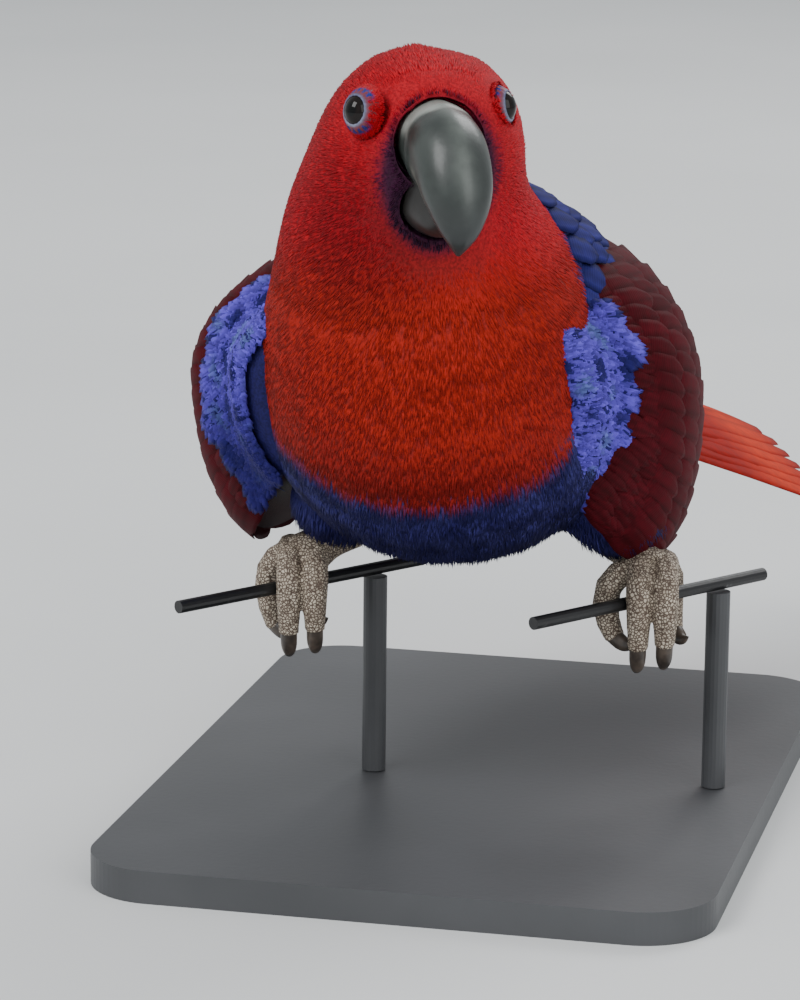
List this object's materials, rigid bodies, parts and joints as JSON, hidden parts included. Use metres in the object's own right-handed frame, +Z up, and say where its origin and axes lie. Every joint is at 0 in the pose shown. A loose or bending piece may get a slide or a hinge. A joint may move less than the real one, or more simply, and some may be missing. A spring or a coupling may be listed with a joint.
{
  "type": "eclectus parrot museum model on wire perches",
  "caption": "Life-size still model of a perched female eclectus parrot gripping two short wires on a plain display stand, for exhibits and scenes",
  "frame": {"origin": "middle of the flat underside of the display base, on the floor", "axes": "+Z up; the bird faces -Y; its own left side is +X"},
  "size_m": [0.15, 0.2648, 0.1998],
  "materials": {
    "crimson_feather": "soft matt plumage",
    "indigo_feather": "soft matt plumage",
    "maroon_feather": "firm satin vanes",
    "orange_feather": "firm satin vanes",
    "bill_horn": "polished horn",
    "foot_scale": "dry scaled skin",
    "eye": "wet gloss",
    "black_wire": "gloss black coating",
    "stand": "satin grey"
  },
  "bodies": {
    "root": {"head": "crimson_feather", "neck": "crimson_feather", "torso": "indigo_feather", "tail": "orange_feather", "wing_left": "maroon_feather", "wing_right": "maroon_feather", "leg_left": "indigo_feather", "leg_right": "indigo_feather", "foot_left": "foot_scale", "foot_right": "foot_scale", "bill_upper": "bill_horn", "bill_lower": "bill_horn", "eye_left": "eye", "eye_right": "eye", "perch_left": "black_wire", "perch_right": "black_wire", "stand_rod_left": "stand", "stand_rod_right": "stand", "stand_base": "stand"}
  },
  "joints": []
}
